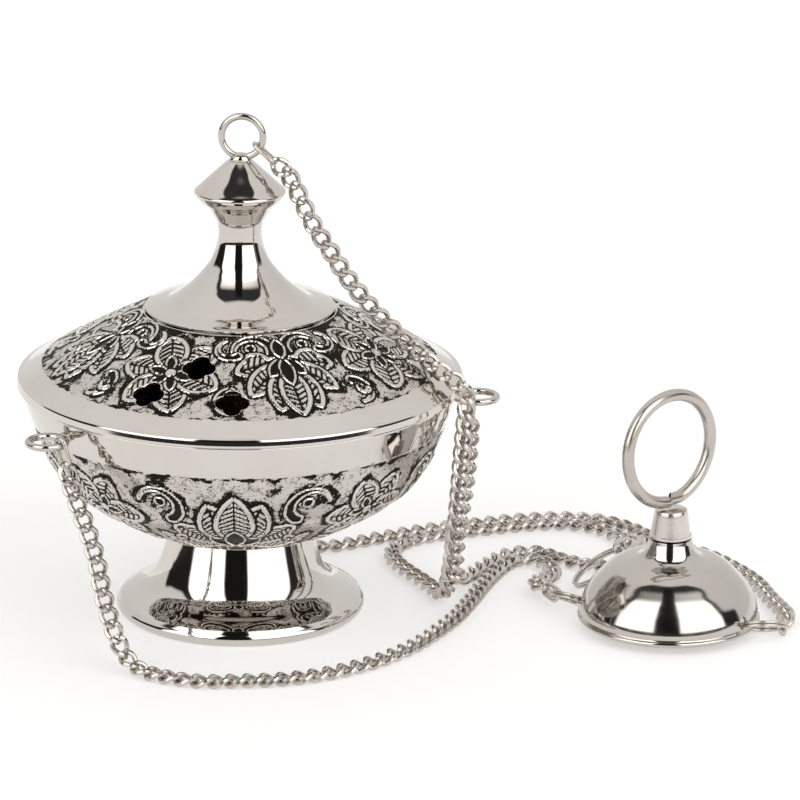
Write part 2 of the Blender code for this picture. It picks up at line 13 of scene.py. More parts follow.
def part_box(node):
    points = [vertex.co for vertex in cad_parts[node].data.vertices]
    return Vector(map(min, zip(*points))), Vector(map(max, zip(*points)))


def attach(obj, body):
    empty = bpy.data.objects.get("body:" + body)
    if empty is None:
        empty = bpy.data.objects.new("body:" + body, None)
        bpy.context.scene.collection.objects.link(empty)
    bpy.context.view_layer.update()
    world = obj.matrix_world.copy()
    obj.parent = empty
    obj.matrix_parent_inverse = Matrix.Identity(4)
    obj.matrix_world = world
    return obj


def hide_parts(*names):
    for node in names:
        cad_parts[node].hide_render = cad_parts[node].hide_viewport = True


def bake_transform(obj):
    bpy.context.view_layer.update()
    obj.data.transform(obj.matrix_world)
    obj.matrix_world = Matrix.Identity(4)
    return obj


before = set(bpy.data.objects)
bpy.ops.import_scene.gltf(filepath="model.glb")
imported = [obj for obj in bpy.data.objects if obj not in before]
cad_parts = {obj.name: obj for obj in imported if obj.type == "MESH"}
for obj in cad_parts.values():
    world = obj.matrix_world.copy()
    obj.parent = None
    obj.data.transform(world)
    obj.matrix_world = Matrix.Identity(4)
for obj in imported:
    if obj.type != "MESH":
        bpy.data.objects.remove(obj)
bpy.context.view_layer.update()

MM = 0.001
UP = np.array((0.0, 0.0, 1.0))


def node_middle(node):
    low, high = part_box(node)
    return (np.array(low) + np.array(high)) / 2


def node_points(node):
    return np.array([vert.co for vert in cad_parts[node].data.vertices])


def node_axes(node):
    """Middle of a CAD node and its principal directions, the longest first."""
    places = np.unique(node_points(node).round(7), axis=0)
    middle = node_middle(node)
    directions = np.linalg.svd(places - middle, full_matrices=False)[2]
    return middle, directions


AXIS = node_middle("bowl") * (1, 1, 0)  # the censer's axis, on the table
CAP = np.array((*node_middle("hand_cap")[:2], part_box("hand_cap")[0].z))  # middle of its lip


# ---- camera
CAMERA_PLACE = (43.13, -1277.51, 464.4)  # from the censer's axis, mm
CAMERA_LENS = 223.3
CAMERA_DOWN = 0.307  # radians
CAMERA_ROLL = 0.009


def make_camera():
    """Looks along +Y from the front, a little down, with a long lens."""
    data = bpy.data.cameras.new("camera")
    data.sensor_width = 36
    data.lens = CAMERA_LENS
    camera = bpy.data.objects.new("camera", data)
    place = Matrix.Translation(Vector(AXIS) + Vector(CAMERA_PLACE) * MM)
    down = Matrix.Rotation(math.pi / 2 - CAMERA_DOWN, 4, "X")
    roll = Matrix.Rotation(CAMERA_ROLL, 4, "Z")
    camera.matrix_world = place @ down @ roll
    bpy.context.scene.collection.objects.link(camera)
    bpy.context.scene.camera = camera


# ---- materials
class Nodes:
    """Short calls for building the nodes of a material or world."""

    def __init__(self, owner):
        owner.use_nodes = True
        self.owner, self.tree = owner, owner.node_tree
        self.coordinates = self.add("ShaderNodeTexCoord", {}).outputs

    def add(self, kind, inputs, **settings):
        node = self.tree.nodes.new(kind)
        for key, value in settings.items():
            setattr(node, key, value)
        for key, value in inputs.items():
            self.link(value, node.inputs[key])
        return node

    def link(self, source, target):
        """Connects an output to an input, or sets the input to a number or colour."""
        if isinstance(source, (int, float, tuple)):
            target.default_value = source
        else:
            self.tree.links.new(source, target)

    def math(self, operation, a, b=0.0):
        return self.add("ShaderNodeMath", {0: a, 1: b}, operation=operation).outputs[0]

    def times(self, a, b):
        return self.math("MULTIPLY", a, b)

    def plus(self, a, b):
        return self.math("ADD", a, b)

    def ramp(self, value, low, high, out_low=0.0, out_high=1.0):
        """value from low..high to out_low..out_high, with soft ends."""
        inputs = {"Value": value, "From Min": low, "From Max": high}
        inputs.update({"To Min": out_low, "To Max": out_high})
        node = self.add("ShaderNodeMapRange", inputs, interpolation_type="SMOOTHSTEP")
        return node.outputs["Result"]

    def mix(self, factor, a, b):
        inputs = {"Factor": factor, "A": a, "B": b}
        return self.add("ShaderNodeMix", inputs, data_type="RGBA").outputs["Result"]

    def noise(self, scale, detail, roughness=0.5, place=None):
        place = place or self.coordinates["Object"]
        inputs = {"Vector": place, "Scale": scale, "Detail": detail, "Roughness": roughness}
        return self.add("ShaderNodeTexNoise", inputs).outputs["Fac"]

    def clouds(self, light, dark, scale, detail, roughness=0.5, high=0.7):
        """Two colours in soft clouds."""
        cloud = self.noise(scale, detail, roughness)
        return self.mix(self.ramp(cloud, 0.3, high), light, dark)

    def attribute(self, name):
        return self.add("ShaderNodeAttribute", {}, attribute_name=name).outputs["Fac"]

    def shader(self, name):
        return self.tree.nodes["Principled BSDF"].inputs[name]

    def surface(self, colour, roughness, height, strength, distance):
        """Gives the material a colour, roughness and bump, and returns it."""
        inputs = {"Strength": strength, "Distance": distance, "Height": height}
        normal = self.add("ShaderNodeBump", inputs).outputs["Normal"]
        self.link(colour, self.shader("Base Color"))
        self.link(roughness, self.shader("Roughness"))
        self.link(normal, self.shader("Normal"))
        return self.owner


def new_metal(name):
    nodes = Nodes(bpy.data.materials.new(name))
    nodes.shader("Metallic").default_value = 1.0
    return nodes


def grey(level, warm=0.0):
    """A colour of that level, redder and less blue by warm."""
    return (level * (1 + warm), level, level * (1 - warm), 1)


def nickel(name, level, rough, turned=True):
    """Bright nickel plate with faint clouds of tarnish. Turned pieces have fine polishing rings."""
    nodes = new_metal(name)
    light, dark = grey(level, 0.045), grey(level * 0.93, 0.07)
    colour = nodes.clouds(light, dark, 45, 3, 0.55, 0.75)
    smear = nodes.noise(260, 4, 0.6)
    if turned:
        inputs = {"W": nodes.attribute("arc"), "Scale": 7.0, "Detail": 5.0}
        lines = nodes.add("ShaderNodeTexNoise", inputs, noise_dimensions="1D")
        rings = nodes.times(lines.outputs["Fac"], 0.5)
        smear = nodes.plus(nodes.times(smear, 0.5), rings)
    roughness = nodes.ramp(smear, 0.3, 0.7, rough * 0.6, rough * 1.5)
    wobble = nodes.plus(nodes.noise(60, 1), nodes.times(smear, 0.04))
    return nodes.surface(colour, roughness, wobble, 0.10, 0.0004)


def engraved_nickel():
    """Nickel with a dark patina, held in the ornament's hollows and rubbed off its high parts, and
    painted shade on the ground beside the raised shapes.
    """
    nodes = new_metal("engraved_nickel")
    fine = nodes.noise(1900, 3, 0.65)
    coarse = nodes.noise(420, 3, 0.6)
    ground = nodes.attribute("ground")
    # this attribute carries both patina in the hollows and painted shade beside the raised shapes
    patina_and_shade = nodes.attribute("patina_and_shade")
    stipple = nodes.plus(nodes.times(fine, 0.75), nodes.times(coarse, 0.5))
    pits = nodes.ramp(stipple, 0.64, 0.75)
    speck = nodes.times(pits, nodes.times(ground, 0.85))
    blotch = nodes.math("SUBTRACT", nodes.noise(190, 3, 0.55), 0.47)
    blotch = nodes.times(nodes.times(blotch, ground), 3.2)
    fray = nodes.times(nodes.math("SUBTRACT", fine, 0.5), 0.9)
    held = nodes.plus(nodes.plus(patina_and_shade, blotch), fray)
    ragged = nodes.ramp(held, 0.42, 0.64)
    dark = nodes.math("MAXIMUM", nodes.times(ragged, 0.99), speck)
    silver = nodes.clouds(grey(0.63, 0.045), grey(0.59, 0.07), 45, 3, 0.55, 0.75)
    worn = nodes.mix(nodes.times(ground, 0.3), silver, grey(0.50, 0.085))
    colour = nodes.mix(dark, worn, grey(0.008, 0.4))
    rough = nodes.plus(nodes.plus(nodes.times(ground, 0.13), nodes.times(dark, 0.40)), 0.05)
    return nodes.surface(colour, rough, nodes.times(stipple, ground), 0.4, 0.00025)


def satin_nickel(name, level):
    """Brushed nickel: fine level lines and a soft highlight."""
    nodes = new_metal(name)
    inputs = {"Vector": nodes.coordinates["Object"], "Scale": (1.0, 1.0, 9.0)}
    stretch = nodes.add("ShaderNodeMapping", inputs)
    brushed = nodes.noise(620, 4, 0.6, stretch.outputs["Vector"])
    light, dark = grey(level, 0.06), grey(level * 0.88, 0.08)
    roughness = nodes.ramp(brushed, 0.3, 0.7, 0.20, 0.28)
    return nodes.surface(nodes.clouds(light, dark, 90, 3), roughness, brushed, 0.06, 0.0001)


def chain_nickel():
    """Tumbled nickel wire, softer than the spun pieces and dull where links rub."""
    nodes = new_metal("chain_nickel")
    rub = nodes.noise(480, 3, 0.6)
    light, dark = grey(0.58, 0.06), grey(0.49, 0.085)
    roughness = nodes.ramp(rub, 0.3, 0.7, 0.19, 0.31)
    return nodes.surface(nodes.clouds(light, dark, 130, 2), roughness, rub, 0.16, 0.00015)


def brass():
    """Bare brass that smoke has browned in patches."""
    nodes = new_metal("brass")
    patch = nodes.noise(140, 4, 0.6)
    clean, browned = (0.60, 0.43, 0.20, 1), (0.33, 0.215, 0.10, 1)
    colour = nodes.mix(nodes.ramp(patch, 0.35, 0.65), clean, browned)
    roughness = nodes.ramp(patch, 0.3, 0.7, 0.24, 0.45)
    return nodes.surface(colour, roughness, nodes.noise(700, 3), 0.2, 0.0002)


# ---- mesh helpers
def smooth(points, steps):
    """Points on a Catmull-Rom curve through the given points."""
    pts = np.array(points, float)
    pts = np.vstack((2 * pts[0] - pts[1], pts, 2 * pts[-1] - pts[-2]))
    t = (np.arange(steps) / steps)[:, None]
    parts = []
    for a, b, c, d in zip(pts, pts[1:], pts[2:], pts[3:]):
        cubic = (3 * b - a - 3 * c + d) * t ** 3
        parts.append(0.5 * (2 * b + (c - a) * t + (2 * a - 5 * b + 4 * c - d) * t ** 2 + cubic))
    parts.append(pts[-2:-1])
    return np.vstack(parts)


def arc(center, radius, start, end, steps):
    """Points on a round stretch of a section, from start to end in degrees."""
    a = np.radians(np.linspace(start, end, steps + 1))
    return np.column_stack((center[0] + radius * np.cos(a), center[1] + radius * np.sin(a)))


def offset(points, thickness):
    """The section moved to its right-hand side."""
    along = units(np.gradient(points, axis=0))
    return points + np.column_stack((along[:, 1], -along[:, 0])) * thickness


def distances(points):
    """How far along a line each of its points lies."""
    steps = np.linalg.norm(np.diff(points, axis=0), axis=1)
    return np.concatenate(([0], np.cumsum(steps)))


def evenly(points, count):
    """That many points at equal steps along a line."""
    walked = distances(points)
    wanted = np.linspace(0, walked[-1], count)
    return np.column_stack([np.interp(wanted, walked, column) for column in points.T])


def unit(vector):
    return np.asarray(vector, float) / np.linalg.norm(vector)


def units(vectors):
    return vectors / np.linalg.norm(vectors, axis=1)[:, None]


SHARP_EDGE = 38.0  # faces that meet at more than this, in degrees, keep a crisp edge


def new_object(name, verts, faces, material):
    """A smooth-shaded mesh object whose faces point out."""
    verts = np.asarray(verts, float)
    quads = np.array([face for face in faces if len(face) == 4])
    a, b, c, d = (verts[quads[:, k]] - verts.mean(0) for k in range(4))
    if np.einsum("ij,ij->", a, np.cross(b, c) + np.cross(c, d)) < 0:
        faces = [face[::-1] for face in faces]
    mesh = bpy.data.meshes.new(name)
    mesh.from_pydata(verts.tolist(), [], faces)
    mesh.shade_smooth()
    mesh.set_sharp_from_angle(angle=math.radians(SHARP_EDGE))
    mesh.materials.append(material)
    obj = bpy.data.objects.new(name, mesh)
    bpy.context.scene.collection.objects.link(obj)
    return obj


def grid_faces(rows, columns, close_rows):
    """Quads of a grid of points whose columns run all the way round."""
    i = np.arange(rows if close_rows else rows - 1)[:, None]
    j = np.arange(columns)[None, :]
    low, high = i * columns, (i + 1) % rows * columns
    after = (j + 1) % columns
    quads = np.stack((low + j, low + after, high + after, high + j), axis=-1)
    return quads.reshape(-1, 4).tolist()


def end_faces(rows, columns):
    """The two flat ends of such a grid, wound the same way as its quads."""
    return [list(range(columns))[::-1], list(range((rows - 1) * columns, rows * columns))]


def set_attribute(obj, name, values):
    attribute = obj.data.attributes.new(name, "FLOAT", "POINT")
    attribute.data.foreach_set("value", np.asarray(values, np.float32).ravel())


def turned(name, section, columns, material, home, closed=True, relief=None):
    """Turns a section of (radius, height) in mm about the vertical through home.

    A closed section is a hollow piece's outline. An open one is a solid piece's, with flat ends.
    relief(section, azimuth) may give (push in mm, patina and painted shade, ground) arrays for the
    section's points.
    """
    section = np.asarray(section, float)
    rows = len(section)
    azimuth = np.arange(columns) * 2 * np.pi / columns
    r = np.repeat(section[:, :1], columns, axis=1)
    z = np.repeat(section[:, 1:], columns, axis=1)
    marks = None
    if relief:
        push, *marks = relief(section, azimuth)
        along = np.gradient(section, axis=0)
        along /= np.linalg.norm(along, axis=1)[:, None] + 1e-12
        r = r + along[:, 1:] * push
        z = z - along[:, :1] * push
    places = np.stack((r * np.cos(azimuth), r * np.sin(azimuth), z), axis=-1)
    verts = places.reshape(-1, 3) * MM + home
    faces = grid_faces(rows, columns, closed)
    if not closed:
        faces += end_faces(rows, columns)
    obj = new_object(name, verts, faces, material)
    set_attribute(obj, "arc", np.repeat(distances(section), columns))
    if marks:
        set_attribute(obj, "patina_and_shade", marks[0])
        set_attribute(obj, "ground", marks[1])
    return obj


def rings_round(line, radius, sides, out, over):
    """A ring of points round each point of a line, in the plane of its out and over directions."""
    a = (np.arange(sides) * 2 * np.pi / sides)[:, None]
    return line[:, None] + radius * (out[:, None] * np.cos(a) + over[:, None] * np.sin(a))


def wire_grid(center_line, radius, sides, across, closed=True):
    """Rings of points round a line, in mm. across is a direction that the line never runs along."""
    line = np.asarray(center_line, float)
    if closed:
        along = units(np.roll(line, -1, axis=0) - np.roll(line, 1, axis=0))
    else:
        along = units(np.gradient(line, axis=0))
    out = units(np.cross(along, across))
    return rings_round(line, radius, sides, out, np.cross(along, out))


def ring_axes(normal):
    """Two directions that span the plane of a ring."""
    across = unit(np.cross(UP, normal)) if abs(normal[2]) < 0.999 else np.array((1.0, 0, 0))
    return across, np.cross(normal, across)


def joined(name, parts, material):
    """One object of several (points, faces) parts, in mm."""
    verts, faces, first = [], [], 0
    for points, quads in parts:
        verts.append(np.asarray(points).reshape(-1, 3))
        faces += [[index + first for index in face] for face in quads]
        first += len(verts[-1])
    return new_object(name, np.vstack(verts) * MM, faces, material)


def closed_wire(line, radius, sides, across):
    grid = wire_grid(line, radius, sides, across)
    return grid, grid_faces(len(line), sides, True)


def open_wire(line, radius, sides, across, bevel=0.0):
    """A wire with closed ends. bevel slants each end by that much for each mm across it."""
    grid = wire_grid(line, radius, sides, across, closed=False)
    if bevel:
        for end, sign in ((0, 1), (-1, -1)):
            step = unit(line[1] - line[0]) if end == 0 else unit(line[-1] - line[-2])
            side = (grid[end] - line[end]) @ unit(across)
            grid[end] += np.outer(side * bevel * sign, step)
    return grid, grid_faces(len(line), sides, False) + end_faces(len(line), sides)


def blob(center, normal, radii):
    """A squashed drop of solder. The last of its radii lies along normal, a unit direction."""
    rings, sides = 8, 20
    lat = np.linspace(-np.pi / 2, np.pi / 2, rings + 1)[1:-1, None]
    lon = (np.arange(sides) * 2 * np.pi / sides)[None]
    level = np.cos(lat)
    ball = np.stack((level * np.cos(lon), level * np.sin(lon), np.sin(lat) + 0 * lon), axis=-1)
    points = (ball * np.array(radii)) @ np.array((*ring_axes(normal), normal)) + center
    return points, grid_faces(rings - 1, sides, False) + end_faces(rings - 1, sides)


# ---- ornament
def turn(u, v, at, angle):
    """Places in a shape's own frame, which stands at a point and is turned by degrees."""
    a = math.radians(angle)
    x, y = u - at[0], v - at[1]
    return x * math.cos(a) + y * math.sin(a), y * math.cos(a) - x * math.sin(a)


def leaf(u, v, length, width):
    """Distance to a pointed leaf that runs from the origin along +u, negative inside."""
    half = length / 2
    bend = (half ** 2 + (width / 2) ** 2) / width
    back = bend - width / 2
    x, y = np.abs(u - half), np.abs(v)
    tip = (x - half) * back > y * half
    return np.where(tip, np.hypot(x - half, y), np.hypot(x, y + back) - bend)


def scroll(u, v, radius, start, sweep, thick, thin):
    """Distance to a curl about the origin, from start through sweep in degrees, thick to thin."""
    way = math.copysign(1, sweep)
    total = abs(math.radians(sweep))
    angle = np.mod(way * (np.arctan2(v, u) - math.radians(start)), 2 * np.pi)
    t = np.where(angle > total / 2 + np.pi, 0, np.clip(angle / total, 0, 1))
    a = math.radians(start) + way * t * total
    return np.hypot(u - radius * np.cos(a), v - radius * np.sin(a)) - (thick + (thin - thick) * t)


class Relief:
    """Height, patina and distance to the nearest shape, on a grid of places, in mm."""

    OUTLINE = 0.72  # width of the dark groove round each shape
    SOFT = 0.26  # width of the step at a shape's edge
    GROOVE, RIM, CORE, BAR = -1.0, 1.0, -0.8, 0.35  # heights, as shares of the full rise
    FAR = 9.0

    def __init__(self, shape):
        self.height = np.zeros(shape)
        self.dark = np.zeros(shape)
        self.nearest = np.full(shape, self.FAR)

    def inside(self, distance):
        return np.clip(0.5 - distance / self.SOFT, 0, 1)

    def lay(self, mask, height, dark):
        self.height += mask * (height - self.height)
        self.dark += mask * (dark - self.dark)

    def paint(self, distance, style, u, v, scale=1.0):
        """Lays a shape over what is there: a dark groove, a raised rim, and a core by style.

        The core is "plain" (none), "cored" (dark), or "petal" (dark with bright bars across it).
        """
        self.nearest = np.minimum(self.nearest, distance)
        self.lay(self.inside(distance - self.OUTLINE * scale), self.GROOVE, 1.0)
        self.lay(self.inside(distance), self.RIM, 0.0)
        if style == "plain":
            return
        rim = (1.15 if style == "petal" else 0.8) * scale
        core = self.inside(distance + rim)
        self.lay(core, self.CORE, 1.0)
        if style == "petal":
            stroke = np.mod((u + 0.6 * np.abs(v)) / (1.7 * scale), 1.0)
            bars = np.clip((0.34 - np.abs(stroke - 0.5)) / 0.12, 0, 1)
            inner = self.inside(distance + rim + 0.35 * scale)
            midrib = np.clip((np.abs(v) - 0.22 * scale) / 0.2, 0, 1)
            self.lay(inner * bars * midrib, self.BAR, 0.0)


def flower(relief, u, v, reach, spin):
    """Six hatched petals, six small ones inside them and a boss."""
    for k in (0, 2, 4, 1, 3, 5):
        x, y = turn(u, v, (0, 0), spin + 60 * k)
        petal = leaf(x - 0.12 * reach, y, 0.85 * reach, 0.56 * reach) - 0.05 * reach
        relief.paint(petal, "petal", x, y)
    for k in range(6):
        x, y = turn(u, v, (0, 0), spin + 60 * k)
        petal = leaf(x - 0.06 * reach, y, 0.40 * reach, 0.19 * reach) - 0.02 * reach
        relief.paint(petal, "cored", x, y, 0.7)
    relief.paint(np.hypot(u, v) - 0.10 * reach, "plain", u, v, 0.7)


def lobed_leaf(relief, u, v, angle, length, width):
    """Three overlapping hatched lobes on one stalk from the origin, pointing along an angle."""
    x, y = turn(u, v, (0, 0), angle)
    lobes = [leaf(x - 0.34 * length, y, 0.66 * length, 0.62 * width)]
    for side in (1, -1):
        p, q = turn(x, y, (0.30 * length, 0), 34 * side)
        lobes.append(leaf(p, q, 0.52 * length, 0.52 * width))
    lobes.append(leaf(x, y, 0.72 * length, 0.30 * width))
    together = np.minimum.reduce(lobes) - 0.06 * length
    relief.paint(together, "petal", x, y)


def curl(relief, u, v, at, radius, start, sweep, band, bud=True):
    """A curling leaf: a slit band that thins to its tip, with a bud inside."""
    x, y = u - at[0], v - at[1]
    line = scroll(x, y, radius, start, sweep, band, band * 0.32)
    relief.paint(line, "cored", x, y, 0.85)
    if not bud:
        return
    a = math.radians(start + sweep * 0.55)
    heart = (0.30 * radius * math.cos(a), 0.30 * radius * math.sin(a))
    relief.paint(np.hypot(x - heart[0], y - heart[1]) - 0.30 * radius, "cored", x, y, 0.7)


def palmette(relief, u, v, size):
    """Leaves that fan out along +u from a knot, curls on both sides of it, and a drop behind it."""
    for side in (1, -1):
        y = v * side
        curl(relief, u, y, (-0.20 * size, 0.34 * size), 0.25 * size, -60, -235, 0.085 * size)
    for side in (1, -1):
        lobed_leaf(relief, u, v * side, 80, 0.64 * size, 0.42 * size)
    pairs = ((46, 0, 0.10, 0.70, 0.32), (19, 0.10, 0.08, 0.74, 0.34))
    for angle, at, start, length, width in pairs:
        for side in (1, -1):
            x, y = turn(u, v * side, (at * size, 0), angle)
            petal = leaf(x - start * size, y, length * size, width * size) - 0.03 * size
            relief.paint(petal, "petal", x, y)
    petal = leaf(u - 0.20 * size, v, 0.78 * size, 0.34 * size) - 0.03 * size
    relief.paint(petal, "petal", u, v)
    for angle, length in ((-40, 0.40), (40, 0.40), (0, 0.50)):
        x, y = turn(u, v, (0, 0), angle)
        inner = leaf(x + 0.03 * size, y, length * size, 0.19 * size) - 0.012 * size
        relief.paint(inner, "cored", x, y, 0.75)
    drop = leaf(-u - 0.02 * size, v, 0.36 * size, 0.17 * size) - 0.012 * size
    relief.paint(drop, "cored", u, v, 0.75)


def sprig(relief, u, v, size, spread=38):
    """A small leaf pair that fills a gap, pointing along +u."""
    for angle in (-spread, spread):
        x, y = turn(u, v, (0, 0), angle)
        relief.paint(leaf(x, y, size, 0.46 * size), "petal", x, y, 0.8)


def finished_relief(relief, band, edge, rise):
    """(push in mm, patina and painted shade, ground) of the shapes on a band. edge is how far in
    from its edges.

    The ground darkens with painted shade beside the shapes and is darker along the band's edges,
    both fading from there.
    """
    shapes = relief.inside(relief.nearest - Relief.OUTLINE)
    ground = (1 - shapes) * band
    # painted shade: the ground darkens next to the raised shapes, fading with distance; it is also
    # darker towards the band's edges
    near = 1.2 * np.exp(-np.maximum(relief.nearest - Relief.OUTLINE, 0) / 0.85)
    near = np.maximum(near, 1.4 * np.exp(-np.maximum(edge, 0) / 1.1))
    push = rise * np.where(shapes > 0, relief.height * shapes, 0) - 0.55 * rise * ground
    # patina in the shapes' hollows, plus painted shade on the ground near them
    patina_and_shade = np.maximum(relief.dark * shapes, ground * near * 0.8)
    return push * band, patina_and_shade * band, ground


# ---- finishes
POLISHED = nickel("polished_nickel", 0.605, 0.045)
CAP_NICKEL = nickel("cap_nickel", 0.53, 0.095)
WIRE_NICKEL = nickel("polished_wire", 0.53, 0.09, turned=False)
ENGRAVED = engraved_nickel()
SATIN = satin_nickel("satin_nickel", 0.52)
PALE_SATIN = satin_nickel("pale_satin_nickel", 0.64)
CHAIN_NICKEL = chain_nickel()
BRASS = brass()


def finish(obj, body, node):
    """The object stands for a CAD node, whose faceted mesh it hides, and rides on a body."""
    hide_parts(node)
    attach(obj, body)


# ---- foot, bowl and cup
SHEET = 1.1  # spun sheet, mm
BOWL_COLUMNS = 800
OUTER_BOWL_ROWS = 108
BOWL_FLOOR = 24.1  # height of the bowl's floor, mm
BOWL_START = (20.2, BOWL_FLOOR)  # where its side starts
BOWL_BAND_TOP = 50.6  # where its ornament ends, mm along its side from the floor
BOWL_RISE = 0.26  # height of its raised shapes, mm
LOOP_RADIUS, RING_WIRE = 5.0, 0.98  # the wire is the finial ring's as well
BETWEEN_MOTIFS = math.radians(22.5)  # from a flower or palmette to the curls beside it


def make_foot():
    top_z = 23.8
    neck = [(19.1, top_z), (19.5, 22.2), (20.35, 19.1), (21.3, 15.9), (22.35, 12.8), (23.6, 10.3)]
    outer = smooth(neck + [(25.3, 8.3), (27.6, 6.9), (30.0, 5.9), (31.8, 5.0), (32.75, 4.4)], 8)
    bead = arc((32.05, 2.1), 1.78, 52, -72, 14)
    lip = [(32.4, 0.12), (31.9, 0.06), (31.0, 0.06), (30.7, 2.2)]
    inner = offset(outer, SHEET)[::-1]
    seat = [(18.0, top_z - SHEET), (2.7, top_z - SHEET), (2.7, top_z)]
    section = np.vstack((outer, bead, lip, inner[4:-2], seat))
    finish(turned("foot_spun", section, 192, POLISHED, AXIS), "censer", "foot")


def turned_from(azimuth, middle):
    """Angles from a middle one, between -pi and pi."""
    return np.mod(azimuth - middle + np.pi, 2 * np.pi) - np.pi


def bowl_relief(section, azimuth):
    """Flowers and palmettes in turn round the bowl, with a curl and a sprig between them."""
    walked = distances(section)
    start = int(np.argmin(np.hypot(*(section - BOWL_START).T)))
    s = np.repeat((walked - walked[start])[:, None], len(azimuth), axis=1)
    r = np.repeat(section[:, :1], len(azimuth), axis=1)
    relief = Relief(s.shape)
    for k in range(8):
        middle = math.radians(-90 + 45 * k)
        across = r * turned_from(azimuth, middle)
        if k % 2:
            flower(relief, s - 33.5, across, 13.2, 30)
            sprig(relief, s - 11.0, across, 9.5)
            continue
        palmette(relief, s - 17.0, across, 27.0)
        for side in (1, -1):
            turned_by = turned_from(azimuth, middle + side * BETWEEN_MOTIFS)
            curl(relief, s - 39.5, r * turned_by * side, (0, 0), 5.6, -150, 225, 1.9)
            sprig(relief, s - 20.0, r * turned_by, 6.5, 30)
    # the band's upper edge wanders
    wave = 0.3 * np.sin(azimuth * 31) * np.sin(azimuth * 11 + 1) + 0.15 * np.sin(azimuth * 83)
    below = BOWL_BAND_TOP + wave - s
    rows = np.arange(len(section))
    outside = (rows >= start) & (rows < start + OUTER_BOWL_ROWS)
    band = np.clip((s - 0.5) / 0.5, 0, 1) * np.clip(below / 0.4, 0, 1) * outside[:, None]
    return finished_relief(relief, band, np.minimum(below, s - 1.0), BOWL_RISE)


def make_bowl():
    side = [BOWL_START, (28.3, 26.2), (38.7, 31.8), (45, 36.2), (48, 38.9), (50.8, 43)]
    side += [(52.4, 45.6), (55.2, 52), (56.4, 55.6), (57.8, 59.9), (58.9, 64.0)]
    outer = evenly(smooth(side, 12), OUTER_BOWL_ROWS)
    inner = offset(outer[::9], -SHEET)[::-1]
    rim = arc((58.4, 64.0), 0.52, 0, 180, 5)
    floor = [(2.7, BOWL_FLOOR), (19.4, BOWL_FLOOR)]
    seat = [(19.8, BOWL_FLOOR + SHEET), (2.7, BOWL_FLOOR + SHEET)]
    section = np.vstack((floor, outer[:-1], rim, inner[1:-1], seat))
    bowl = turned("bowl_spun", section, BOWL_COLUMNS, ENGRAVED, AXIS, relief=bowl_relief)
    finish(bowl, "censer", "bowl")


def make_coal_cup():
    outer = smooth([(22.0, 29.2), (27.0, 30.6), (31.0, 34.0), (33.6, 39.6), (35.0, 48.0)], 6)
    roll = arc((36.3, 48.0), 1.25, 170, -20, 8)
    inner = offset(outer, -0.9)[::-1]
    section = np.vstack(((3.0, 29.2), outer, roll, inner, (3.0, 30.1)))
    finish(turned("coal_cup_spun", section, 120, BRASS, AXIS), "coal_cup", "coal_cup")


def make_bowl_loops():
    """Level wire rings soldered to the bowl."""
    for side in ("front_left", "right", "rear"):
        node = "bowl_loop_" + side
        center = node_middle(node) / MM
        a = np.linspace(0, 2 * np.pi, 73)[:-1]
        line = center + LOOP_RADIUS * np.column_stack((np.cos(a), np.sin(a), np.zeros(len(a))))
        out = unit((center - AXIS / MM) * (1, 1, 0))
        foot = center - out * 5.7
        parts = [closed_wire(line, RING_WIRE, 14, UP), blob(foot, out, (2.3, 1.5, 1.1))]
        loop = joined(node + "_wire", parts, WIRE_NICKEL)
        finish(loop, "censer", node)


# ---- cover
COVER_COLUMNS = 900
OUTER_COVER_ROWS = 82
COVER_SLOPE = 0.546
CONE_TIP = 99.2  # height at which the cover's slope would meet the axis, mm
COVER_BAND = (26.0, 53.6)  # radii between which its ornament lies, mm
COVER_RISE = -0.24  # the cover's section runs the other way from the bowl's
# Each curl: place along the slope from the cone's tip and across, radius, start, sweep and band.
COVER_CURLS = (
    (54.6, -1.2, 4.0, 165, -175, 1.7), (54.2, 1.2, 1.6, 60, -200, 0.9),
    (35.0, 0.6, 3.3, -40, 200, 1.45),
)
VENT_SIZE = 9.1
VENTS = ((-90.6, 48.0), (-104.9, 37.4), (-118.5, 47.5))  # azimuth and radius of one group of three


def cover_z(r):
    bulge = 0.45 * np.sin(np.pi * np.clip((r - 26) / 33, 0, 1))
    return CONE_TIP - COVER_SLOPE * r + bulge


def flat_pattern(slant, azimuth, middle, lean):
    """Places on the cone laid out flat: from its tip along a middle azimuth, and across that."""
    flat_angle = turned_from(azimuth, middle) * lean
    return slant * np.cos(flat_angle), slant * np.sin(flat_angle)


def clear_of_vents(slant, azimuth, lean):
    """1 away from the vents, falling to 0 at their edges, where the sheet is flat."""
    clear = np.ones(slant.shape)
    for group in (0, 180):
        for vent_azimuth, radius in VENTS:
            out, across = flat_pattern(slant, azimuth, math.radians(vent_azimuth + group), lean)
            away = np.hypot(out - radius / lean, across)
            clear *= np.clip((away - VENT_SIZE / 2 - 0.25) / 0.9, 0, 1)
    return clear


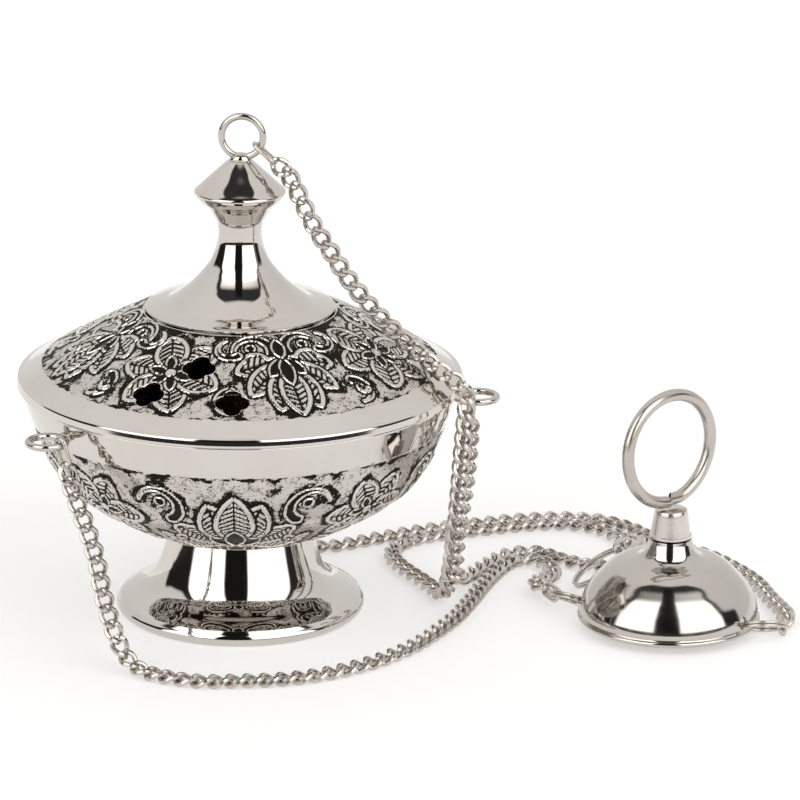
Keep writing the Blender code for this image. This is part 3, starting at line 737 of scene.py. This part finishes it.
def cover_relief(section, azimuth):
    """Flowers and palmettes in turn, laid out on the cone's flat pattern."""
    lean = math.cos(math.atan(COVER_SLOPE))
    outside = np.arange(len(section)) < OUTER_COVER_ROWS
    slant = np.repeat(section[:, :1] / lean, len(azimuth), axis=1)
    relief = Relief(slant.shape)
    for k in range(8):
        middle = math.radians(-115.2 + 45.8 * k if k < 3 else -25.1 + 45 * (k - 2))
        out, across = flat_pattern(slant, azimuth, middle, lean)
        if k % 2 == 0:
            flower(relief, out - 45.6, across, 14.4, 22)
            continue
        palmette(relief, out - 39.5, across, 20.5)
        for side in (1, -1):
            out, across = flat_pattern(slant, azimuth, middle + side * BETWEEN_MOTIFS, lean)
            for at, offside, *shape in COVER_CURLS:
                curl(relief, out - at, across * side, (0, offside), *shape, bud=False)
    wave = 0.2 * np.sin(azimuth * 29) * np.sin(azimuth * 13 + 2) + 0.12 * np.sin(azimuth * 97)
    beyond = section[:, :1] - COVER_BAND[0]
    within = COVER_BAND[1] + wave - section[:, :1]
    band = np.clip(beyond / 0.3, 0, 1) * np.clip(within / 0.4, 0, 1) * outside[:, None]
    edge = np.minimum(within, beyond)
    push, patina_and_shade, ground = finished_relief(relief, band, edge, COVER_RISE)
    return push * clear_of_vents(slant, azimuth, lean), patina_and_shade, ground


def vent_cutter():
    """One mesh of all the four-lobed punches, each square to the cover's slope."""
    lobe = VENT_SIZE * 0.27
    out = VENT_SIZE / 2 - lobe
    reach = math.pi / 4 + math.asin(out / (lobe * math.sqrt(2)))
    outline = []
    for k in range(4):
        middle = math.pi / 2 * k
        for a in middle + reach * (np.arange(10) / 5 - 1):
            x = out * math.cos(middle) + lobe * math.cos(a)
            y = out * math.sin(middle) + lobe * math.sin(a)
            outline.append((x, y))
    parts = []
    count = len(outline)
    for group in (0, 180):
        for azimuth, radius in VENTS:
            a = math.radians(azimuth + group)
            x, y = radius * math.cos(a), radius * math.sin(a)
            place = Matrix.Translation((x, y, float(cover_z(radius))))
            tilt = Matrix.Rotation(math.atan(COVER_SLOPE), 4, "Y")
            turned_to = place @ Matrix.Rotation(a, 4, "Z") @ tilt
            rings = [[turned_to @ Vector((x, y, z)) for x, y in outline] for z in (-4, 4)]
            points = np.array(rings).reshape(-1, 3) + AXIS / MM
            parts.append((points, grid_faces(2, count, False) + end_faces(2, count)))
    return joined("vent_cutter", parts, BRASS)


def cut(obj, cutter):
    """Cuts the cutter out of the object for good, and removes the cutter."""
    boolean = obj.modifiers.new("cut", "BOOLEAN")
    boolean.operation = "DIFFERENCE"
    boolean.solver = "EXACT"
    boolean.object = cutter
    bpy.context.view_layer.update()
    evaluated = obj.evaluated_get(bpy.context.evaluated_depsgraph_get())
    made = bpy.data.meshes.new_from_object(evaluated)
    obj.modifiers.clear()
    made.name = obj.data.name
    obj.data = made
    bpy.data.objects.remove(cutter)


def make_cover():
    radii = np.linspace(COVER_BAND[0], 53.9, OUTER_COVER_ROWS)
    radii = np.concatenate((radii, np.linspace(53.9, 58.7, 8)[1:]))
    outer = np.column_stack((radii, cover_z(radii)))
    face = np.column_stack((np.linspace(59.86, 60.18, 5), np.linspace(66.8, 65.05, 5)))
    bead = [(59.6, 66.99), (59.78, 66.93), *face, (60.16, 64.9), (60.0, 64.81), (59.4, 64.78)]
    foot = [(57.2, 64.75), (56.9, 66.5)]
    inner = offset(outer[::8], SHEET)[::-1]
    inner = inner[inner[:, 0] < 56.3]
    top_z = 84.9
    seat = [(24.8, top_z - SHEET), (2.7, top_z - SHEET), (2.7, top_z), (25.7, top_z)]
    section = np.vstack((outer, bead, foot, inner, seat))
    cover = turned("cover_spun", section, COVER_COLUMNS, ENGRAVED, AXIS, relief=cover_relief)
    cut(cover, vent_cutter())
    finish(cover, "cover", "cover")
    spigot = [(54.7, 60.2), (55.2, 59.6), (55.7, 59.6), (56.0, 60.2), (56.0, 66.6), (54.7, 66.6)]
    spigot = turned("cover_spigot_ring", spigot, 160, BRASS, AXIS)
    finish(spigot, "cover", "cover_spigot")


def make_spire():
    edge = [(25.1, 85.2), (25.45, 85.35), (25.5, 85.75), (25.2, 86.0)]
    flare = [(22, 86.45), (19.3, 87.4), (15, 90.5), (12.6, 92.7), (10.7, 94.8), (9.2, 96.65)]
    waist = [(8.0, 98.5), (6.5, 102.1), (5.8, 105.5), (6.1, 108.9), (6.9, 110.6), (8.6, 113.2)]
    waist += [(10.8, 115.2), (12.0, 116.7)]
    knob_edge = arc((11.55, 117.4), 0.75, -45, 50, 6)
    knob = [(11.7, 118.3), (10.7, 119.2), (8.8, 121.0), (6.6, 123.0), (4.7, 124.75), (3.4, 125.9)]
    tip = [(2.0, 126.6), (0.6, 126.9)]
    hollow = [(2.7, 97.5), (4.6, 97.5), (8.0, 96.3), (11.6, 91.9), (18.4, 86.9), (23.6, 85.2)]
    outer = smooth(flare + waist, 6)
    section = np.vstack((smooth(hollow, 5), edge, outer, knob_edge, smooth(knob, 5), tip))
    spire = turned("spire_spun", section, 144, POLISHED, AXIS, closed=False)
    finish(spire, "cover", "spire")


RING_STEPS = 64  # points on each turn of a ring


def ring_place(node):
    """Middle of a CAD ring, its normal, and two directions in its plane."""
    middle, directions = node_axes(node)
    normal = unit(directions[2])
    return middle, normal, *ring_axes(normal)


def make_ring(node, wire_radius, turns, material, body, slot, *solder):
    """A wire ring in place of a faceted one: plain, or wound twice like a key ring."""
    middle, normal, across, over = ring_place(node)
    places = node_points(node) - middle
    outside = np.linalg.norm(places - np.outer(places @ normal, normal), axis=1).max()
    thick = (places @ normal).max()
    radius = (outside - thick) / MM
    a = np.linspace(0, 2 * np.pi * turns, RING_STEPS * turns + 1)
    if turns == 1:
        a = a[:-1]
    line = middle / MM + radius * (np.outer(np.cos(a), across) + np.outer(np.sin(a), over))
    if turns > 1:
        lift = (a / (2 * np.pi) - turns / 2) * 2 * wire_radius
        line = line + np.outer(lift, normal)
    wire = closed_wire if turns == 1 else open_wire
    parts = [wire(line, wire_radius, 12, normal), *solder]
    finish(joined(node + "_wire", parts, material), body, node)


HANDLE_RADIUS, HANDLE_ROD = 15.0, 1.68  # of the finger ring and of its rod
HANDLE_ENDS = (-86, 266)  # where the rod starts and ends, in degrees


def make_handle_ring():
    """The finger ring: bent rod whose slanted ends meet over the collar."""
    node = "handle_ring"
    middle, normal, across, over = ring_place(node)
    over = over * math.copysign(1, over[2])
    a = np.radians(np.linspace(*HANDLE_ENDS, 140))
    uneven = HANDLE_RADIUS + 0.12 * np.sin(2 * a + 0.6) + 0.10 * np.sin(3 * a)
    line = middle / MM + np.outer(uneven * np.cos(a), across) + np.outer(uneven * np.sin(a), over)
    end_lift = np.exp(-((np.degrees(a) - HANDLE_ENDS[1]) / 9) ** 2) * 0.5
    line = line + np.outer(end_lift, over)
    rod = open_wire(line, HANDLE_ROD, 18, normal, bevel=0.8)
    ring = joined("handle_ring_rod", [rod], SATIN)
    finish(ring, "handle", node)


CAP_HOLES = (172.0, -36.0, 76.0)  # azimuths of the holes for the split rings
CAP_HOLE_Z, CAP_HOLE_RADIUS = 3.7, 1.75


def make_hand_cap():
    neck = [(5.8, 23), (6.15, 21.6), (6.7, 20.1), (7.5, 18.75), (8.7, 17.75), (10.3, 17.2)]
    shoulder = [(12.1, 16.9), (13.7, 16.5), (15.3, 15.75), (17.0, 14.5)]
    side = [(18.9, 12.6), (20.8, 10.5), (22.5, 8.0), (23.6, 5.5), (24.15, 3.4), (24.25, 2.2)]
    outer = smooth(neck + shoulder + side, 7)
    groove = [(24.0, 1.95), (24.1, 1.7)]
    lip = arc((23.95, 0.87), 0.75, 62, -62, 8)
    foot = [(24.0, 0.0), (23.2, 0.0), (22.9, 0.5), (22.9, 2.5)]
    inner = offset(outer, 1.0)[::-3]
    seat = [(5.0, 21.9), (1.8, 21.9), (1.8, 23.0)]
    section = np.vstack((outer, groove, lip, foot, inner[:-1], seat))
    cap = turned("hand_cap_spun", section, 192, CAP_NICKEL, CAP)
    parts = []
    for azimuth in CAP_HOLES:
        a = math.radians(azimuth)
        out = np.array((math.cos(a), math.sin(a), 0))
        line = CAP / MM + np.outer((20.0, 28.0), out) + np.array((0, 0, CAP_HOLE_Z))
        parts.append(open_wire(line, CAP_HOLE_RADIUS, 24, UP))
    cut(cap, joined("hole_cutter", parts, BRASS))
    finish(cap, "hand_cap", "hand_cap")


def make_collar():
    low = 23.3
    foot = [(5.2, low), (5.7, low + 0.2), (5.78, low + 0.55), (5.7, low + 0.9), (5.35, low + 1.1)]
    side = [(5.3, low + 1.4), (4.98, low + 3.8), (4.62, low + 6.4), (4.47, low + 7.5)]
    section = np.vstack((foot, side, (4.33, low + 7.8), (4.05, low + 7.9)))
    collar = turned("handle_collar_turned", section, 96, PALE_SATIN, CAP, closed=False)
    finish(collar, "handle", "handle_collar")


# ---- chains
CHAIN_D = 4.6  # overall width, mm
CHAIN_Z = 2.35  # height of the middle of a tube that wide on the table
PITCH = 4.45
LINK_WIRE = 0.72  # radius
LINK_PROUD = 0.36  # each link reaches this much past the tube, mm
FLAT_DROP = 0.85  # a flat curb chain lies this much lower than a tube of its width
SETTLES_BELOW = 9.0  # height at which a chain starts to lie down flat
FLAT_BELOW, FLAT_OVER = 16.0, 10  # links turn flat from this height down, over this much
MOST_TURN = math.radians(16)  # most that a link turns from the one before it
LINK_REACH = 2.4  # a link takes its direction from the line this far each way
END_ROOM = 0.7  # from the line's ends to the middles of the first and last links
CHAIN_STEPS = 6  # points of the middle line for each route point
TABLE_GAP = 0.03  # between the table and the lowest point of a link
END_LINK = (8.8, 4.4, 0.62)  # length, width and wire radius of the long links at the ends
END_GAP = 0.3  # between an end link and the chain's middle line

# Routes in mm from the censer's axis. A point without a height lies on the table.
FRONT_LEFT_ROUTE = (
    (-36.9, -48.4, 33), (-34.2, -49.8, 20), (-31.6, -51.2, 11), (-28.4, -53.4, 5.2),
    (-23.6, -56.8, 2.7), (-16.4, -60.6), (-8, -63), (2, -62.4), (12, -61), (22, -57.6),
    (31.5, -51.6), (40.5, -43.4), (48.3, -33.2), (54.4, -22), (59.4, -10.6), (63, 1), (66.4, 13),
    (70.4, 24.6), (75, 33.6), (80.4, 36), (84.6, 31.4), (86, 23),
)
RIGHT_ROUTE = (
    (61.3, 0.8, 36), (59.7, 4.6, 23), (58.7, 8.4, 11.5), (59.4, 13.6, 4.4), (62.8, 21.4),
    (68.2, 31.6), (74.2, 40), (81.6, 42), (87.6, 36.6), (93.4, 32.4), (100, 30), (107, 29.6),
    (113.4, 31.6), (118.6, 34),
)
REAR_ROUTE = (
    (-22, 67.4, 32), (-20.6, 66.6, 16), (-17.4, 65.4, 7), (-11, 62), (-2, 57), (7, 51.4),
    (15, 46.6), (22.6, 44.8), (30.4, 48.4), (40.8, 54.8), (52, 60.6), (63.6, 65), (77.4, 69.8),
    (90.4, 71.6), (101.2, 69.4), (109.6, 62.2), (115.2, 53.6), (122, 46.8), (130, 40), (136.6, 30),
    (142, 18.6), (145, 6),
)
LID_UPPER_ROUTE = (
    (19.4, -9.2, 111.4), (24.3, -9.8, 103.8), (29.8, -10, 95.3), (36.3, -10, 87.2),
    (43, -10.4, 80.6), (48.8, -12.4, 75.8), (52.2, -14.6, 73.4), (55.6, -16.8, 71.6),
    (59.2, -18.4, 69.6), (60.9, -18.7, 66.2), (60.7, -18.2, 61), (60.1, -16.8, 52),
    (59.5, -14.4, 42), (58.9, -11.4, 32), (58.2, -8, 22), (57.4, -4.2, 12.6), (56.2, 0.6, 5.4),
    (54, 7.4), (50.4, 16), (45.6, 25), (42, 34), (41.8, 43), (46, 50),
)
LID_LOWER_ROUTE = (
    (46, 50), (53.4, 55.2), (63.6, 59.4), (77.6, 64.4), (89.8, 66.2), (98.8, 63.4), (104.8, 56.6),
    (108.2, 48.6, 2.6), (109.8, 41.6, 4.6), (109.6, 36.6, 7.6),
)


def routed(points):
    """A route's points in the frame, in mm."""
    return list(np.array([(*p, CHAIN_Z) if len(p) == 2 else p for p in points]) + AXIS / MM)


def curb_link():
    """One twisted oval link about its middle: x along the chain, z out of its flat side."""
    half_length = PITCH / 2 + LINK_WIRE
    half_width = CHAIN_D / 2 - LINK_WIRE + LINK_PROUD
    steps, sides = 22, 8
    a = np.arange(steps) * 2 * np.pi / steps
    x = half_length * np.sign(np.cos(a)) * np.abs(np.cos(a)) ** 0.92
    y = half_width * np.sin(a)
    twist = -(math.pi / 2) * x / PITCH
    line = np.column_stack((x, y * np.cos(twist), y * np.sin(twist)))
    along = np.roll(line, -1, axis=0) - np.roll(line, 1, axis=0)
    over = units(np.cross(along, line))
    grid = rings_round(line, LINK_WIRE, sides, units(np.cross(over, along)), over)
    return grid.reshape(-1, 3), grid_faces(steps, sides, True)


def end_link_piece(node, body):
    """A long link in place of a faceted one. Returns the object, its middle and its direction."""
    middle, directions = node_axes(node)
    along, across = unit(directions[0]), unit(directions[1])
    length, width, wire = END_LINK
    bend = width / 2 - wire
    straight = length / 2 - wire - bend
    line = []
    for end in (1, -1):
        for a in np.radians(np.linspace(-90, 90, 13)):
            reach = end * (straight + bend * math.cos(a))
            line.append(middle / MM + along * reach + across * (end * bend * math.sin(a)))
    link = closed_wire(np.array(line), wire, 12, np.cross(along, across))
    piece = joined(node + "_wire", [link], CHAIN_NICKEL)
    finish(piece, body, node)
    return piece, middle / MM, along


def lead_points(middle, along, toward):
    """The chain's first two points past an end link, in line with it."""
    along = along * math.copysign(1, (toward - middle) @ along)
    face = middle + along * (END_LINK[0] / 2 + END_GAP)
    return [face, face + along * CHAIN_D]


def lowered(line):
    """The chain's middle line, let down where it lies flat on the table."""
    line = line.copy()
    line[:, 2] = np.maximum(line[:, 2], CHAIN_Z)
    share = np.clip((SETTLES_BELOW - line[:, 2]) / (SETTLES_BELOW - CHAIN_Z), 0, 1)
    line[:, 2] -= FLAT_DROP * share
    return line


def place_links(line, facing):
    """Middles and axes of the links along a line. facing is the first link's flat side."""
    walked = distances(line)
    count = round((walked[-1] - END_ROOM - END_ROOM) / PITCH)
    at = np.linspace(END_ROOM, walked[-1] - END_ROOM, count + 1)

    def point(s):
        return np.array([np.interp(s, walked, column) for column in line.T])

    normal = np.array(facing, float)
    links = []
    for s in at:
        before, after = point(s - LINK_REACH), point(s + LINK_REACH)
        along = unit(after - before)
        middle = 0.5 * point(s) + 0.25 * (before + after)
        normal = unit(normal - along * (normal @ along))
        flat = UP - along * along[2]
        if np.linalg.norm(flat) > 0.35 and middle[2] < FLAT_BELOW:
            flat = unit(flat)
            if flat @ normal < 0:
                flat = -flat
            gap = math.acos(min(1.0, flat @ normal))
            most = MOST_TURN * min(1.0, (FLAT_BELOW - middle[2]) / FLAT_OVER)
            share = 1.0 if gap < most else most / gap
            normal = unit(normal + (flat - normal) * share)
            normal = unit(normal - along * (normal @ along))
        links.append((middle, along, np.cross(normal, along), normal))
    return links


def chain_mesh(name, links):
    """All the links of a chain as one mesh, none of them under the table."""
    link_points, link_faces = curb_link()
    parts = []
    for middle, along, side, normal in links:
        points = link_points @ np.array((along, side, normal)) + middle
        points[:, 2] += max(TABLE_GAP - points[:, 2].min(), 0)
        parts.append((points, link_faces))
    return joined(name, parts, CHAIN_NICKEL)


def declare_chain(node):
    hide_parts(node)


# Each suspension chain: route, length in metres, first link's flat side, and the x and y between
# which it goes from following the censer to following the hand cap.
SUSPENSIONS = {
    "front_left": (FRONT_LEFT_ROUTE, 0.255, (0.25, -0.96, -0.1), (46, -36), (74, 30)),
    "right": (RIGHT_ROUTE, 0.147, (0.3, -0.95, 0), (64, 36), (104, 36)),
    "rear": (REAR_ROUTE, 0.279, (0.3, 0.95, 0), (70, 40), (128, 40)),
}


def make_suspension_chains():
    for side, (route, length, facing, follow_from, follow_to) in SUSPENSIONS.items():
        bowl_link, start, start_along = end_link_piece(side + "_chain_bowl_link", "censer")
        cap_link, end, end_along = end_link_piece(side + "_chain_cap_link", "hand_cap")
        points = routed(route)
        points = lead_points(start, start_along, points[0]) + points
        points += lead_points(end, end_along, points[-1])[::-1]
        line = lowered(smooth(points, CHAIN_STEPS))
        chain = chain_mesh(side + "_chain_links", place_links(line, facing))
        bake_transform(chain)
        declare_chain(side + "_chain")


def make_lid_chain():
    """One chain in two pieces: the first from the cover's top link, the second on to the hand cap's
    pull link.
    """
    top_link, start, start_along = end_link_piece("lid_chain_top_link", "cover")
    pull_link, end, end_along = end_link_piece("lid_chain_pull_link", "hand_cap")
    upper = routed(LID_UPPER_ROUTE)
    lower = routed(LID_LOWER_ROUTE)
    points = lead_points(start, start_along, upper[0]) + upper
    tail = lower[1:] + lead_points(end, end_along, lower[-1])[::-1]
    whole = lowered(smooth(points + tail, CHAIN_STEPS))
    split = (len(points) - 1) * CHAIN_STEPS
    links = place_links(whole, (-0.1, -0.95, 0.3))
    cut_at = int(np.argmin([np.linalg.norm(middle - whole[split]) for middle, *_ in links]))
    first = chain_mesh("lid_chain_upper_links", links[: cut_at + 1])
    second = chain_mesh("lid_chain_lower_links", links[cut_at + 1 :])
    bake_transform(first)
    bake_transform(second)
    declare_chain("lid_chain")
    declare_chain("lid_chain")


# ---- light and floor
FLOOR_REACH = 4.0  # metres each way
FLOOR_GLOW = 0.5


def make_world():
    """A pale tent: two bright softboxes, dark strips between and beside them, and a dark roof."""
    world = bpy.data.worlds.new("tent")
    bpy.context.scene.world = world
    nodes = Nodes(world)
    x, y, z = nodes.add("ShaderNodeSeparateXYZ", {0: nodes.coordinates["Generated"]}).outputs
    toward = nodes.times(y, -1.0)
    azimuth = nodes.times(nodes.math("ARCTAN2", x, toward), 180 / math.pi)
    height = nodes.times(nodes.math("ARCSINE", z), 180 / math.pi)
    # panel heights are measured on a wall that is furthest in front and nearer to the sides
    level_reach = nodes.math("SQRT", nodes.math("SUBTRACT", 1.0, nodes.times(z, z)))
    nearer = nodes.times(y, -0.55)
    wall_reach = nodes.plus(nodes.times(level_reach, 0.45), nearer)
    wall_reach = nodes.math("MAXIMUM", wall_reach, nodes.times(level_reach, 0.3))
    wall_height = nodes.times(nodes.math("ARCTAN2", z, wall_reach), 180 / math.pi)

    def window(value, low, high, soft):
        rising = nodes.ramp(value, low - soft, low + soft)
        falling = nodes.ramp(value, high - soft, high + soft, 1.0, 0.0)
        return nodes.times(rising, falling)

    level = nodes.ramp(height, 10.0, 75.0, 0.86, 0.98)
    panels = (
        # azimuth from the camera's side, elevation, softness of both, and level
        (-86, 82, 8, 82, 3.0, 2.5, 0.045),
        (-74, -21, -30, 66, 2.5, 4, 2.3),
        (12, 74, -30, 66, 2.5, 4, 2.3),
        (-21, 12, -30, 76, 1.5, 3, 0.012),
        (-116, -76, -30, 50, 2.5, 6, 0.02),
        (76, 100, -30, 44, 2.5, 6, 0.03),
        (-110, 100, -3, 6.5, 3.0, 1.5, 0.03),
    )
    for az_low, az_high, el_low, el_high, az_soft, el_soft, value in panels:
        sideways = window(azimuth, az_low, az_high, az_soft)
        mask = nodes.times(sideways, window(wall_height, el_low, el_high, el_soft))
        gain = nodes.times(mask, nodes.math("SUBTRACT", value, level))
        level = nodes.plus(level, gain)
    background = nodes.tree.nodes["Background"].inputs
    nodes.link(level, background["Strength"])
    nodes.link((1.0, 0.985, 0.965, 1), background["Color"])


def make_floor():
    """A large pale floor of matt paper, lit a little from below like a light table."""
    nodes = new_metal("paper")
    settings = {
        "Metallic": 0.0, "Roughness": 0.9, "Specular IOR Level": 0.1,
        "Emission Color": (1.0, 0.985, 0.97, 1), "Emission Strength": FLOOR_GLOW,
        "Base Color": nodes.mix(nodes.noise(900, 2), grey(0.56), grey(0.53)),
    }
    for key, value in settings.items():
        nodes.link(value, nodes.shader(key))
    corners = np.array(((-1, -1, 0), (1, -1, 0), (1, 1, 0), (-1, 1, 0))) * FLOOR_REACH
    new_object("floor", corners, [(0, 1, 2, 3)], nodes.owner)


# ---- everything
BRASS_FASTENERS = (  # CAD nodes that keep their shape
    "foot_bolt", "foot_washer", "foot_nut", "spire_stud", "spire_washer", "spire_nut",
    "rivet_washer", "handle_rivet",
)

make_camera()
bpy.context.scene.view_settings.view_transform = "Standard"
make_suspension_chains()
make_lid_chain()
make_foot()
make_bowl()
make_coal_cup()
make_bowl_loops()
make_cover()
make_spire()
make_hand_cap()
make_collar()
make_handle_ring()
ring_foot = node_middle("finial_ring") / MM - (0.4, 0, 6.5)
solder = blob(ring_foot, UP, (3.1, 2.4, 2.2))
make_ring("finial_ring", RING_WIRE, 1, WIRE_NICKEL, "cover", "polished_nickel", solder)
for split_side in ("left", "right", "rear"):
    make_ring("split_ring_" + split_side, 0.42, 2, CHAIN_NICKEL, "hand_cap", "chain_nickel")
make_ring("pull_ring", 0.46, 2, CHAIN_NICKEL, "hand_cap", "chain_nickel")
for kept in BRASS_FASTENERS:
    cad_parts[kept].data.materials.clear()
    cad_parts[kept].data.materials.append(BRASS)
make_world()
make_floor()
